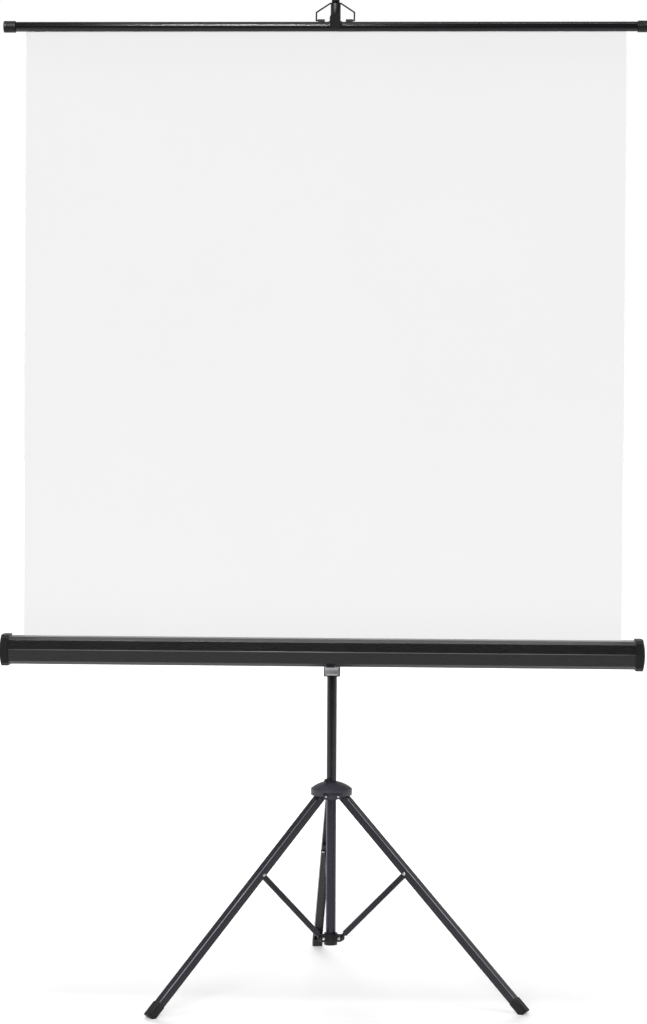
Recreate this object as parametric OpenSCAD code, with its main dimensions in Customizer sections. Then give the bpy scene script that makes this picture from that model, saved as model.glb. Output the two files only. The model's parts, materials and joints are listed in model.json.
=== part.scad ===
// Tripod projection screen, standing open with its screen drawn up and hooked on the mast.
// Millimetres. Floor at z = 0, +Z up, the screen faces -Y.
// The origin is on the floor under the middle of the whole footprint.

/* [Screen fabric] */
// Width of the white fabric
fabric_w = 1550; // [1250:10:1600]
// Thickness of the fabric
fabric_t = 0.5; // [0.4:0.1:0.8]
// Diameter of the hem rod inside the top rail
hem_d = 7; // [6:0.5:9]

/* [Top rail] */
// Height of the rail's axis above the floor
rail_z = 2516; // [2450:1:2560]
// How far the rail with its caps reaches past each edge of the fabric
rail_over = 58.5; // [50:0.5:70]
// Outer diameter of the rail tube
rail_d = 25; // [22:0.5:28]
// Wall of the rail tube
rail_wall = 1.5; // [1.2:0.1:2]
// Diameter of the end caps
rail_cap_d = 30; // [28.5:0.5:34]
// Length of the end caps
rail_cap_len = 30; // [24:1:40]
// Width of the slot under the rail for the fabric
rail_slot = 4; // [3:0.5:5]

/* [Bail] */
// Diameter of the bail wire
wire_d = 4; // [3:0.1:4.5]
// Half width of the bail over the wire's middle
bail_half = 49; // [46:0.5:54]
// Height of the straight sides above the clips
bail_side = 24; // [20:1:28]
// Height of the bail's top above the clips, measured upright
bail_rise = 47; // [44:1:50]
// Half width of the bail's flat top
bail_top_half = 13.5; // [13:0.5:16]
// Length of each wire clip
clip_len = 18; // [14:1:20]
// Height of the wire's hinge line above the rail tube
clip_rise = 3.2; // [3:0.1:4]

/* [Case] */
// How far the case with its caps reaches past each edge of the fabric
case_over = 58.5; // [56:0.5:70]
// Height of the case profile
case_h = 71; // [66:1:76]
// Depth of the case profile
case_d = 66; // [62:1:72]
// Wall of the case profile
case_wall = 1.6; // [1.2:0.1:2.2]
// Height of the case's middle above the floor
case_z = 903; // [890:1:960]
// How far the front ridge stands out
case_ridge = 3; // [1.5:0.5:5]
// Height of the ridge above the case's middle
ridge_rise = 3; // [0:0.5:6]
// Height of the top and bottom facets
case_facet = 8; // [6:0.5:10]
// Width of the slot that the fabric leaves by
case_slot = 9; // [8:0.5:11]
// Length of the end caps
case_cap_len = 26; // [22:1:32]
// Length of an end cap that laps over the profile
case_cap_lap = 10; // [8:0.5:14]
// How far an end cap stands out round the profile
case_cap_rim = 4.3; // [3:0.1:6]
// Radius of the domed outer end of a cap
case_cap_dome = 150; // [120:5:250]

/* [Roller] */
// Diameter of the roller tube
roller_d = 38; // [34:0.5:40]
// Wall of the roller tube
roller_wall = 1.2; // [1:0.1:1.8]
// Diameter of the fabric that stays wound on the roller
roll_d = 46; // [43:0.5:47]
// Diameter of the spring spindle and of the bearing pin
spindle_d = 8; // [7:0.5:10]
// Length of the torsion spring
spring_len = 320; // [250:10:400]
// Outer diameter of the torsion spring
spring_d = 22; // [18:0.5:26]

/* [Pole and mast] */
// How far the pole stands right of the screen's middle
pole_x = 26; // [0:1:30]
// Diameter of the pole
pole_d = 26; // [24:0.5:27]
// Wall of the pole and of the mast
tube_wall = 1.2; // [1:0.1:1.5]
// Height of the pole's upper end
pole_top = 1480; // [1440:5:1490]
// Diameter of the mast that slides in the pole
mast_d = 20; // [19:0.5:20.5]
// Height of the mast's lower end
mast_foot = 1225; // [1200:5:1250]
// Diameter of the mast head
head_d = 26; // [24:0.5:28]
// Height of the mast head above its hooking notch
head_cap = 17; // [14:1:24]

/* [Carriage] */
// Width of the carriage
carriage_w = 42; // [40:1:48]
// Depth from the pole's axis to the carriage's front
carriage_front = 22.5; // [22:0.5:25]
// Height of the carriage's lower end below the case
carriage_drop = 35; // [34:0.5:40]
// Width of the clamp lever
lever_w = 36; // [32:0.5:37]
// Height of the clamp lever
lever_h = 21; // [18:0.5:22]
// Width of the guide slot in the pole
guide_w = 3.4; // [3.2:0.1:5]

/* [Tripod] */
// Turn of the tripod against the screen
tripod_turn = 6; // [0:0.1:12]
// Height of the leg pivots above the floor
hub_z = 519; // [500:1:530]
// Height of the brace pivots on the lower collar
collar_z = 142; // [130:1:160]
// Radius of the pivots in hub and collar
pivot_r = 28; // [27:0.5:30]
// Angle of an open leg from the upright
leg_tilt = 44.9; // [42:0.1:48]
// Width of a leg channel
leg_w = 24; // [22:0.5:25]
// Depth of a leg channel
leg_depth = 20; // [19:0.5:21]
// Sheet thickness of a leg channel
leg_t = 1.5; // [1.2:0.1:2]
// Width of a brace strip
brace_w = 15; // [13:0.5:16]
// Thickness of a brace strip
brace_t = 4; // [3:0.5:4.5]
// Diameter of the pivot pins and rivets
pin_d = 5; // [4:0.5:5.5]
// Diameter of the hub's dome
hub_d = 108; // [104:1:114]
// Height of the hub's skirt above the leg pivots
hub_shoulder = 17; // [16:0.5:20]
// Wall of the hub's moulding
hub_wall = 3; // [2.5:0.5:4]
// Length of a foot cap
foot_len = 42; // [36:1:50]
// Wall of a foot cap round the leg
foot_wall = 2; // [1.5:0.5:3]

/* [Hidden] */
$fn = 48;

// Clearances
run_gap = 0.1;      // running fit of a pin or shaft, per side
seat_gap = 0.1;     // piece seated on another, per side
slide_gap = 0.2;    // tube sliding in or on another, per side
free_gap = 0.5;     // moving piece beside a fixed one

// Small shared sizes
rivet_head_d = 8;
rivet_head_t = 2;
bite = 0.5;         // how far a cut runs past the face it opens
far = 3000;

// Tripod places, in the frame of the pole's axis
REAR = 90 + tripod_turn;
LEFT = 210 + tripod_turn;
RIGHT = 330 + tripod_turn;
// Hub pivot to brace pivot equals the brace, so leg and brace turn by equal angles
brace_len = (hub_z - collar_z) / 2 / cos(leg_tilt);
pivot_in = 6;                                // pivot line to the channel's free edges
web_out = leg_depth - pivot_in;              // pivot line to the web's outer face
foot_sink = 1.3;                             // depth of the uncut foot end below the floor
leg_end = (hub_z + foot_sink) / cos(leg_tilt);
foot_plug = 14;                              // solid end of a foot cap
leg_head = 8;                                // channel above the hub pivot
foot_reach = pivot_r + (web_out + foot_wall) * cos(leg_tilt) + leg_end * sin(leg_tilt);
foot_half = leg_w / 2 + foot_wall;
rear_reach = foot_reach * sin(REAR) + foot_half * abs(cos(REAR));
front_reach = foot_reach * -sin(LEFT) + foot_half * abs(cos(LEFT));
pole_y = -(rear_reach - front_reach) / 2;

// Hub
ear_gap = free_gap;
ear_t = 4;
ear_out = leg_w / 2 + ear_gap + ear_t;
sleeve_r = pole_d / 2 + 4;
sleeve_drop = 12;
dome_top = hub_z + 35;
skirt_foot = 1;                              // skirt's lower edge above the pivots
rim_h = 5;                                   // rim left above a skirt window
ear_drop = 8;                                // ears below the pivots
window_half = 27;                            // half angle of a skirt window between two legs
stop_h = 5;
stop_wall = 2;
knob_d = 9;
knob_len = 8;
knob_turn = 236;
knob_z = dome_top + knob_d / 2 + free_gap;
boss_w = knob_d - 1;                         // boss on the dome for the knob's screw
core_r = pivot_r - 1;                        // core between the ears

// Collar
collar_floor = 4;
collar_down = 19;
collar_up = 11;
collar_r = pole_d / 2 + 4.5;
collar_ear_r = 9;
collar_ear_w = 16;
collar_slot = brace_t + 2 * 0.3;
pole_foot = collar_z - collar_down + collar_floor;

// Case and roller, y measured from the pole's axis
case_gap = 3;                                // hub rim to the case's back when stowed
case_y = -(hub_d / 2 + case_gap + case_d / 2);
case_len = fabric_w + 2 * case_over;
shell_len = case_len - 2 * (case_cap_len - case_cap_lap);
cap_wall = 3;
roller_y = case_y - 4;
roller_len = fabric_w + 24;
plug_flange_t = 3;
plug_flange_d = roller_d + 3;
plug_depth = 20;
boss_d = spindle_d + 10;
boss_end = roller_len / 2 + plug_flange_t + free_gap;
spindle_in = spring_len + 90;

// Mast, rail and fabric
mast_gap = 2;                                // mast to the back of the rail
rail_y = -(mast_d / 2 + mast_gap + rail_d / 2);
rail_len = fabric_w + 2 * rail_over;
rail_tube_len = rail_len - 2 * cap_wall;
clip_z = rail_z + rail_d / 2 + clip_rise;
wire_y = -5;                                 // hooked wire inside the mast head
hook_lean = atan((wire_y - rail_y) / bail_rise);
hook_reach = norm([wire_y - rail_y, bail_rise]);
hook_z = clip_z + bail_rise;
head_foot = rail_z + rail_d / 2 + 9;
head_top = hook_z + head_cap;
head_cap_d = head_d - 5.5;
spigot_len = 40;
fabric_foot_y = roller_y + roll_d / 2 + 0.3 + fabric_t / 2;
fabric_head_z = rail_z - hem_d / 2 - 0.3;
fabric_lean = atan((rail_y - fabric_foot_y) / (fabric_head_z - case_z));
fabric_len = (fabric_head_z - case_z) / cos(fabric_lean);
slot_y = fabric_foot_y + tan(fabric_lean) * case_h / 2;

// Carriage
carriage_foot = case_z - case_h / 2 - carriage_drop;
carriage_head = case_z + 29;
carriage_back = pole_d / 2 + 7.5;
pivot_boss_d = 38;
pivot_d = 12;
bracket_t = 3;
bracket_w = 70;
bracket_h = 50;
strap_w = 22;
strap_t = 2;
boss_face = case_y + case_d / 2 + bracket_t + 0.3;
lever_t = 2.2;
lever_dish = 2;                              // hollow in the lever's front
lever_lip = 1.6;
lever_front = lever_t + 1 + lever_dish;       // pin line to the lever's front
lever_pin_d = 4;
lever_eye_d = lever_pin_d + 3.2;
frame_bar = 3;                               // bar of the carriage under the lever
lever_pin_z = carriage_foot + frame_bar + free_gap + lever_h;
lever_pin_y = -(carriage_front - 2.5);
recess_floor = carriage_front - 7.5;
key_d = 3;
key_z = carriage_foot + 40;
guide_foot = carriage_foot - 24;
guide_head = key_z + 184;

// Frames
module on_pole() translate([pole_x, pole_y, 0]) children();
module round_azimuth(a) on_pole() rotate([0, 0, a]) children();
module leg_frame(a) round_azimuth(a) translate([pivot_r, 0, hub_z]) rotate([0, -leg_tilt, 0]) children();
module brace_frame(a) round_azimuth(a) translate([pivot_r, 0, collar_z]) rotate([0, leg_tilt, 0]) children();
module case_frame() translate([0, pole_y + case_y, case_z]) children();
module roller_frame() translate([0, pole_y + roller_y, case_z]) children();
module rail_frame() translate([0, pole_y + rail_y, rail_z]) children();

// Shared shapes
module tube(d, wall, h) difference() {
  cylinder(d = d, h = h);
  translate([0, 0, -bite]) cylinder(d = d - 2 * wall, h = h + 2 * bite);
}
module rod_x(d, len) rotate([0, 90, 0]) cylinder(d = d, h = len, center = true);
module rod_y(d, len) rotate([90, 0, 0]) cylinder(d = d, h = len, center = true);
module along_x(len) rotate([90, 0, 90]) linear_extrude(len, center = true) children();
module round_rect(x0, x1, w, r) {
  translate([x0 + r, -w / 2]) square([x1 - x0 - 2 * r, w]);
  translate([x0, -w / 2 + r]) square([x1 - x0, w - 2 * r]);
  for (x = [x0 + r, x1 - r], y = [-w / 2 + r, w / 2 - r]) translate([x, y]) circle(r);
}
// Round-headed rivet along y, w over the plates that it joins
module rivet(d, w, head_d) {
  rod_y(d, w + 2 * bite);
  for (s = [-1, 1]) translate([0, s * w / 2, 0]) rotate([-90 * s, 0, 0]) intersection() {
    cylinder(d = head_d, h = rivet_head_t);
    translate([0, 0, rivet_head_t - head_d]) sphere(head_d, $fn = 64);
  }
}

// Pole
module pole_tube() color("#26262b") on_pole() difference() {
  translate([0, 0, pole_foot]) tube(pole_d, tube_wall, pole_top - pole_foot);
  translate([-guide_w / 2, -pole_d, guide_foot + guide_w / 2])
    cube([guide_w, pole_d, guide_head - guide_foot - guide_w]);
  for (z = [guide_foot + guide_w / 2, guide_head - guide_w / 2])
    translate([0, -pole_d / 2, z]) rod_y(guide_w, pole_d);
}

module collar_ear_outline() {
  translate([pivot_r, 0]) circle(collar_ear_r);
  translate([pole_d / 2 + 1, -collar_ear_r]) square([pivot_r - pole_d / 2 - 1, 2 * collar_ear_r]);
}
module brace_collar() color("#2b2a30") difference() {
  union() {
    on_pole() translate([0, 0, collar_z - collar_down]) cylinder(r = collar_r, h = collar_down + collar_up);
    for (a = [LEFT, RIGHT, REAR]) round_azimuth(a) translate([0, 0, collar_z])
      rotate([90, 0, 0]) linear_extrude(collar_ear_w, center = true) collar_ear_outline();
  }
  on_pole() translate([0, 0, pole_foot]) cylinder(d = pole_d + 2 * seat_gap, h = far);
  for (a = [LEFT, RIGHT, REAR]) round_azimuth(a) translate([pivot_r, 0, collar_z]) {
    rod_y(pin_d + 2 * seat_gap, collar_ear_w + 2 * bite);
    translate([collar_r - pivot_r + 1, -collar_slot / 2, -far / 2]) cube([far, collar_slot, far]);
  }
}
module collar_rivets() color("#d8d8da") for (a = [LEFT, RIGHT, REAR])
  round_azimuth(a) translate([pivot_r, 0, collar_z]) rivet(pin_d, collar_ear_w, rivet_head_d);

module hub_stop_ring() color("#8a8a8c") on_pole()
  translate([0, 0, hub_z - sleeve_drop + 0.5]) tube(pole_d + 2 * (seat_gap + stop_wall), stop_wall, stop_h);

module mast_collar() color("#1c1c1e") on_pole() difference() {
  translate([0, 0, pole_top - 26]) union() {
    cylinder(d = pole_d + 9, h = 40);
    translate([0, 0, 40]) cylinder(d1 = pole_d + 9, d2 = pole_d + 3, h = 5);
    translate([0, pole_d / 2, 18]) rotate([-90, 0, 0]) cylinder(d = 14, h = 12);
  }
  translate([0, 0, pole_top - far]) cylinder(d = pole_d + 2 * seat_gap, h = far);
  cylinder(d = mast_d + 2 * slide_gap, h = far);
  translate([0, pole_d / 2, pole_top - 8]) rotate([-90, 0, 0]) cylinder(d = pin_d + 2 * run_gap, h = far);
}
module mast_knob() color("#202022") on_pole() translate([0, pole_d / 2 + 12, pole_top - 8]) rotate([-90, 0, 0]) {
  translate([0, 0, -11]) cylinder(d = pin_d, h = 12);
  translate([0, 0, free_gap]) difference() {
    cylinder(d = 26, h = 12);
    for (k = [0:5]) rotate([0, 0, 60 * k]) translate([17, 0, -bite]) cylinder(d = 12, h = 12 + 2 * bite);
  }
}

// Hub
// Half section of the dome, from foot above the pivots, inset on its curved and outer sides
module dome_section(inset, foot) intersection() {
  dome_r = hub_d / 2;
  rise = dome_top - hub_z - hub_shoulder;
  centre = (sleeve_r * sleeve_r - dome_r * dome_r + rise * rise) / (2 * rise);
  translate([0, hub_shoulder + centre]) circle(norm([dome_r, centre]) - inset, $fn = 128);
  translate([0, foot]) square([dome_r - inset, far]);
}
module hub_ears() intersection() {
  on_pole() translate([0, 0, hub_z]) rotate_extrude($fn = 96) dome_section(hub_wall / 2, -ear_drop);
  union() for (a = [LEFT, RIGHT, REAR], s = [-1, 1])
    round_azimuth(a) translate([0, s * (ear_out - ear_t / 2) - ear_t / 2, hub_z - 2 * ear_drop])
      cube([pivot_r + ear_drop + 1, ear_t, 2 * ear_drop + hub_d]);
}
// Fills the room between neighbouring ears
module hub_core() difference() {
  on_pole() translate([0, 0, hub_z + 1 - ear_drop]) cylinder(r = core_r, h = hub_shoulder + ear_drop - 2);
  for (a = [LEFT, RIGHT, REAR]) round_azimuth(a) translate([sleeve_r + 0.2, ear_t / 2 - ear_out, hub_z - far / 2])
    cube([far, 2 * ear_out - ear_t, far]);
}
module hub_shell() difference() {
  on_pole() translate([0, 0, hub_z]) rotate_extrude($fn = 96) difference() {
    dome_section(0, skirt_foot);
    dome_section(hub_wall, skirt_foot - 1);
  }
  for (a = [LEFT, RIGHT, REAR]) round_azimuth(a + 60 - window_half) translate([0, 0, hub_z + skirt_foot - bite])
    rotate_extrude(angle = 2 * window_half)
      translate([hub_d / 2 - hub_wall - 1, 0]) square([hub_wall + 2, hub_shoulder - rim_h - skirt_foot + bite]);
}
module hub_dome() color("#3a3940") difference() {
  union() {
    hub_shell();
    on_pole() translate([0, 0, hub_z - sleeve_drop]) cylinder(r = sleeve_r, h = dome_top - hub_z + sleeve_drop);
    on_pole() rotate([0, 0, knob_turn]) {
      translate([0, 0, knob_z]) rotate([0, 90, 0]) cylinder(d = boss_w, h = sleeve_r + 2);
      translate([0, -boss_w / 2, dome_top - hub_wall]) cube([sleeve_r + 1, boss_w, knob_z - dome_top + hub_wall]);
    }
    hub_ears();
    hub_core();
  }
  on_pole() cylinder(d = pole_d + 2 * slide_gap, h = far);
  on_pole() translate([0, 0, hub_z - sleeve_drop - bite])
    cylinder(d = pole_d + 2 * (seat_gap + stop_wall + free_gap), h = stop_h + bite + 0.7);
  on_pole() rotate([0, 0, knob_turn]) translate([0, 0, knob_z]) rotate([0, 90, 0])
    cylinder(d = pin_d + 2 * run_gap, h = hub_d);
  for (a = [LEFT, RIGHT, REAR]) round_azimuth(a) translate([pivot_r, 0, hub_z])
    rod_y(pin_d + 2 * seat_gap, 2 * ear_out + 2 * bite);
}
module hub_pins() color("#d8d8da") for (a = [LEFT, RIGHT, REAR])
  round_azimuth(a) translate([pivot_r, 0, hub_z]) rivet(pin_d, 2 * ear_out, rivet_head_d);
module hub_knob() color("#151517") on_pole() rotate([0, 0, knob_turn]) translate([0, 0, knob_z]) rotate([0, 90, 0]) {
  translate([0, 0, pole_d / 2 + 0.3]) cylinder(d = pin_d, h = sleeve_r - pole_d / 2 + 4);
  translate([0, 0, sleeve_r + 2.3]) difference() {
    cylinder(d = knob_d, h = knob_len);
    for (k = [0:11]) rotate([0, 0, 30 * k]) translate([knob_d / 2 + 0.5, 0, -bite])
      cylinder(d = 2, h = knob_len + 2 * bite, $fn = 16);
  }
}

// Legs
module channel_outline(grow) difference() {
  round_rect(-pivot_in - grow - 4, web_out + grow, leg_w + 2 * grow, 3);
  translate([-pivot_in - grow - far, -far / 2]) square([far, far]);
  translate([-far, -leg_w / 2 + leg_t + grow]) square([far + web_out - leg_t - grow, leg_w - 2 * leg_t - 2 * grow]);
}
module leg(a) color("#2c2b31") leg_frame(a) difference() {
  translate([0, 0, foot_plug - leg_end]) linear_extrude(leg_end - foot_plug + leg_head) channel_outline(0);
  for (z = [0, -brace_len]) translate([0, 0, z]) rod_y(pin_d + 2 * run_gap, leg_w + 2 * bite);
}
module foot(a) color("#1d1d20") difference() {
  leg_frame(a) translate([0, 0, -leg_end]) difference() {
    linear_extrude(foot_len) round_rect(-pivot_in - foot_wall, web_out + foot_wall, 2 * foot_half, 4);
    translate([0, 0, foot_plug]) linear_extrude(far) channel_outline(seat_gap);
  }
  translate([-far / 2, -far / 2, -far]) cube([far, far, far]);
}
// Shouldered rivet that keeps the brace in the middle of the channel
module leg_rivet(a) color("#d8d8da") leg_frame(a) translate([0, 0, -brace_len]) {
  rivet(pin_d, leg_w, rivet_head_d);
  for (s = [-1, 1]) translate([0, s * (leg_w / 2 - leg_t + brace_t / 2) / 2, 0])
    rod_y(pin_d + 4, leg_w / 2 - leg_t - brace_t / 2 - 2 * seat_gap);
}
module leg_left() leg(LEFT);
module leg_right() leg(RIGHT);
module leg_rear() leg(REAR);
module foot_left() foot(LEFT);
module foot_right() foot(RIGHT);
module foot_rear() foot(REAR);
module leg_rivet_left() leg_rivet(LEFT);
module leg_rivet_right() leg_rivet(RIGHT);
module leg_rivet_rear() leg_rivet(REAR);

// Braces
module brace_outline() {
  neck_w = brace_w - 5;
  neck_len = 18;
  circle(d = neck_w + 2);
  translate([-neck_w / 2, 0]) square([neck_w, neck_len]);
  translate([-brace_w / 2, neck_len]) square([brace_w, brace_len - neck_len]);
  translate([0, brace_len]) circle(d = brace_w);
}
module brace(a) color("#28272c") brace_frame(a) rotate([90, 0, 0]) difference() {
  linear_extrude(brace_t, center = true) brace_outline();
  for (y = [0, brace_len]) translate([0, y, 0]) cylinder(d = pin_d + 2 * run_gap, h = far, center = true);
}
module brace_left() brace(LEFT);
module brace_right() brace(RIGHT);
module brace_rear() brace(REAR);

// Carriage
module carriage_body() color("#19191b") on_pole() difference() {
  union() {
    translate([0, 0, carriage_foot]) linear_extrude(carriage_head - carriage_foot)
      rotate([0, 0, -90]) round_rect(-carriage_back, carriage_front, carriage_w, 6);
    translate([0, boss_face, case_z]) rotate([-90, 0, 0]) cylinder(d = pivot_boss_d, h = -boss_face - pole_d / 2 - 3);
  }
  cylinder(d = pole_d + 2 * slide_gap, h = far);
  translate([0, boss_face - bite, case_z]) rotate([-90, 0, 0])
    cylinder(d = pivot_d + 2 * run_gap, h = -boss_face - carriage_front + 4 + bite);
  translate([-lever_w / 2 - free_gap, -far - recess_floor, carriage_foot + frame_bar])
    cube([lever_w + 2 * free_gap, far, lever_h + lever_front + 1 + 2 * free_gap]);
  translate([0, lever_pin_y, lever_pin_z]) rod_x(lever_pin_d + 2 * seat_gap, far);
  translate([0, -pole_d / 2, key_z]) rod_y(key_d + 2 * seat_gap, far);
}
module guide_key() color("#8a8a8c") on_pole()
  translate([0, -(carriage_front + pole_d / 2 - tube_wall + 0.3) / 2, key_z])
    rod_y(key_d, carriage_front - pole_d / 2 + tube_wall - 0.3);
module clamp_lever() color("#a4a4a6") on_pole() translate([0, lever_pin_y, lever_pin_z]) difference() {
  dish_half = (lever_h - lever_lip) / 2;
  dish_r = (dish_half * dish_half + lever_dish * lever_dish) / (2 * lever_dish);
  union() {
    difference() {
      translate([-lever_w / 2, -lever_front, -lever_h]) cube([lever_w, lever_front - 1, lever_h + 1]);
      translate([0, -lever_t - 1 - dish_r, (lever_lip - lever_h) / 2]) rod_x(2 * dish_r, far);
    }
    translate([-lever_w / 2, -lever_front - 1, -lever_h]) cube([lever_w, lever_front - 0.5, lever_lip]);
    rod_x(lever_eye_d, lever_w);
  }
  rod_x(lever_pin_d + 2 * run_gap, far);
}
module lever_pin() color("#8a8a8c") on_pole() translate([0, lever_pin_y, lever_pin_z]) rod_x(lever_pin_d, carriage_w - 1);

// Case
function case_outline(g) = let (d = case_d / 2 + g, h = case_h / 2 + g, run = case_facet + 2, back = case_facet - 2) [
  [-d + case_ridge + run, h], [-d + case_ridge, h - case_facet], [-d, ridge_rise], [-d + case_ridge, case_facet - h],
  [-d + case_ridge + run, -h], [d - back, -h], [d, back - h], [d, h - back], [d - back, h]
];
module case_profile(g) polygon(case_outline(g));
module case_shell() color("#222224") case_frame() difference() {
  along_x(shell_len) case_profile(0);
  along_x(far) case_profile(-case_wall);
  translate([-far / 2, slot_y - case_y - case_slot / 2, 0]) cube([far, case_slot, case_h]);
}
// Cap at the +X end; s mirrors it to the other end
module case_cap(s) color("#1a1a1c") difference() {
  mirror([s < 0 ? 1 : 0, 0, 0]) case_frame() union() {
    cap_in = case_len / 2 - case_cap_len;
    shell_end = shell_len / 2;
    intersection() {
      translate([cap_in + case_cap_len / 2, 0, 0]) difference() {
        along_x(case_cap_len) case_profile(case_cap_rim);
        translate([-case_cap_len / 2 - far / 2 + case_cap_lap, 0, 0]) along_x(far) case_profile(seat_gap);
        translate([-case_cap_len / 2 - far / 2 + case_cap_len - cap_wall - 8, 0, 0])
          along_x(far) case_profile(-case_wall - cap_wall);
      }
      translate([case_len / 2 - case_cap_dome, 0, 0]) sphere(case_cap_dome, $fn = 128);
    }
    // Plug inside the profile
    translate([shell_end - 6, 0, 0]) difference() {
      along_x(12) case_profile(-case_wall - seat_gap);
      along_x(far) case_profile(-case_wall - cap_wall);
      translate([-far / 2, slot_y - case_y - case_slot / 2, 0]) cube([far, case_slot, case_h]);
    }
    translate([boss_end, roller_y - case_y, 0]) rotate([0, 90, 0])
      cylinder(d = boss_d, h = case_len / 2 - cap_wall - 7 - boss_end);
  }
  roller_frame() rod_x(spindle_d + 2 * run_gap, case_len - 2 * case_cap_len + 2 * case_cap_lap);
}
module case_cap_left() case_cap(-1);
module case_cap_right() case_cap(1);
// Back plate, pivot stub and the strap that runs under the case to its lower front facet
module case_bracket() color("#1d1d1f") {
  translate([pole_x, 0, 0]) case_frame() {
    translate([-bracket_w / 2, case_d / 2, -bracket_h / 2]) cube([bracket_w, bracket_t, bracket_h]);
    translate([0, case_d / 2, 0]) rotate([-90, 0, 0])
      cylinder(d = pivot_d, h = -carriage_front + 2.5 - case_y - case_d / 2);
    intersection() {
      difference() {
        along_x(strap_w) case_profile(strap_t + seat_gap);
        along_x(far) case_profile(seat_gap);
      }
      translate([-far / 2, -far / 2, -far - case_h / 2 + case_facet]) cube([far, far, far]);
    }
    translate([-strap_w / 2, case_d / 2 + seat_gap, -case_h / 2]) cube([strap_w, strap_t, case_h / 2]);
  }
}

// Roller
module roller_tube() color("#b9bcc0") roller_frame() rotate([0, 90, 0])
  translate([0, 0, -roller_len / 2]) tube(roller_d, roller_wall, roller_len);
module fabric_roll() color("#ececec") roller_frame() rotate([0, 90, 0])
  translate([0, 0, -fabric_w / 2]) tube(roll_d, (roll_d - roller_d) / 2 - seat_gap, fabric_w);
module roller_plug(s) {
  translate([s * (roller_len / 2 + plug_flange_t / 2), 0, 0]) rod_x(plug_flange_d, plug_flange_t);
  translate([s * (roller_len - plug_depth) / 2, 0, 0])
    rod_x(roller_d - 2 * roller_wall - 2 * seat_gap, plug_depth + bite);
}
module roller_plug_left() color("#2a2a2c") roller_frame() difference() {
  roller_plug(-1);
  rod_x(spindle_d + 2 * run_gap, far);
}
module roller_plug_right() color("#2a2a2c") roller_frame() {
  roller_plug(1);
  translate([roller_len / 2 + plug_flange_t + 10, 0, 0]) rod_x(spindle_d, 22);
}
module spring_spindle() color("#9a9a9c") roller_frame() {
  spindle_out = boss_end + 20;
  translate([-spindle_out + (spindle_out - roller_len / 2 + spindle_in) / 2, 0, 0])
    rod_x(spindle_d, spindle_out - roller_len / 2 + spindle_in);
  // Spring anchor at the spindle's inner end
  translate([-roller_len / 2 + spindle_in - 6, 0, 0]) rod_x(spring_d, 12);
}
module torsion_spring() color("#6d6d70") roller_frame() rotate([0, 90, 0])
  translate([0, 0, -roller_len / 2 + spindle_in - 12 - spring_len])
    tube(spring_d, (spring_d - spindle_d) / 2 - 0.3, spring_len);

// Screen, rail and bail
module screen_fabric() color("#efefef")
  translate([0, pole_y + fabric_foot_y, case_z]) rotate([-fabric_lean, 0, 0])
    translate([-fabric_w / 2, -fabric_t / 2, 0]) cube([fabric_w, fabric_t, fabric_len]);
module hem_rod() color("#d9d9d9") rail_frame() rod_x(hem_d, fabric_w);
module rail_tube() color("#1b1b1d") rail_frame() difference() {
  rod_x(rail_d, rail_tube_len);
  rod_x(rail_d - 2 * rail_wall, far);
  translate([-far / 2, -rail_slot / 2, -rail_d]) cube([far, rail_slot, rail_d]);
}
module rail_cap_section() difference() {
  square([rail_cap_d / 2, rail_cap_len]);
  translate([-bite, -bite]) square([rail_d / 2 + seat_gap + bite, rail_cap_len - cap_wall + bite]);
  for (k = [1:4]) translate([rail_cap_d / 2, k * rail_cap_len / 6]) circle(0.8, $fn = 24);
  translate([rail_cap_d / 2 - 2, rail_cap_len - 2]) difference() {
    square(2 + bite);
    circle(2);
  }
}
module rail_cap(s) color("#161618") rail_frame() rotate([0, 90 * s, 0]) difference() {
  translate([0, 0, rail_len / 2 - rail_cap_len]) rotate_extrude() rail_cap_section();
  translate([0, 0, rail_len / 2 - rail_cap_len]) rotate([0, 0, s > 0 ? 0 : 180])
    translate([0, -rail_slot / 2, -bite]) cube([far, rail_slot, rail_cap_len - cap_wall - 8]);
}
module rail_cap_left() rail_cap(-1);
module rail_cap_right() rail_cap(1);
// Band over the rail with an upright round-topped tongue in front
module rail_saddle() color("#232326") translate([pole_x, 0, 0]) rail_frame() {
  band_w = 34;
  tongue_t = 3;
  band_r = rail_d / 2 + 2;
  difference() {
    rod_x(2 * band_r, band_w);
    rod_x(rail_d + 2 * seat_gap, far);
    translate([-far / 2, -far / 2, -far - rail_d / 4]) cube([far, far, far]);
  }
  translate([0, -rail_d / 2 - seat_gap - tongue_t / 2, 0]) rotate([90, 0, 0]) linear_extrude(tongue_t, center = true) {
    tongue_w = 28;
    tongue_h = rail_d / 2 + 21;
    translate([-tongue_w / 2, -rail_d / 4]) square([tongue_w, tongue_h - tongue_w / 2 + rail_d / 4]);
    translate([0, tongue_h - tongue_w / 2]) circle(d = tongue_w);
  }
}
module bail_clips() color("#1f1f21") translate([pole_x, 0, 0]) rail_frame() for (s = [-1, 1]) difference() {
  clip_x = bail_half - wire_d - clip_len / 2;
  translate([s * clip_x, 0, 0]) intersection() {
    rod_x(rail_d + 4 * clip_rise, clip_len);
    translate([-far / 2, -clip_rise - 1, 0]) cube([far, 2 * clip_rise + 2, far]);
  }
  rod_x(rail_d + 2 * seat_gap, far);
  translate([0, 0, rail_d / 2 + clip_rise]) rod_x(wire_d + 2 * run_gap, far);
}
function bail_route(s) = [
  [s * (bail_half - wire_d - clip_len + 2), 0], [s * bail_half, 0], [s * bail_half, bail_side],
  [s * bail_top_half, hook_reach], [0, hook_reach]
];
module wire_leg(p, q) {
  run = q - p;
  translate([p[0], 0, p[1]]) rotate([0, atan2(run[0], run[1]), 0]) cylinder(d = wire_d, h = norm(run));
}
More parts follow.
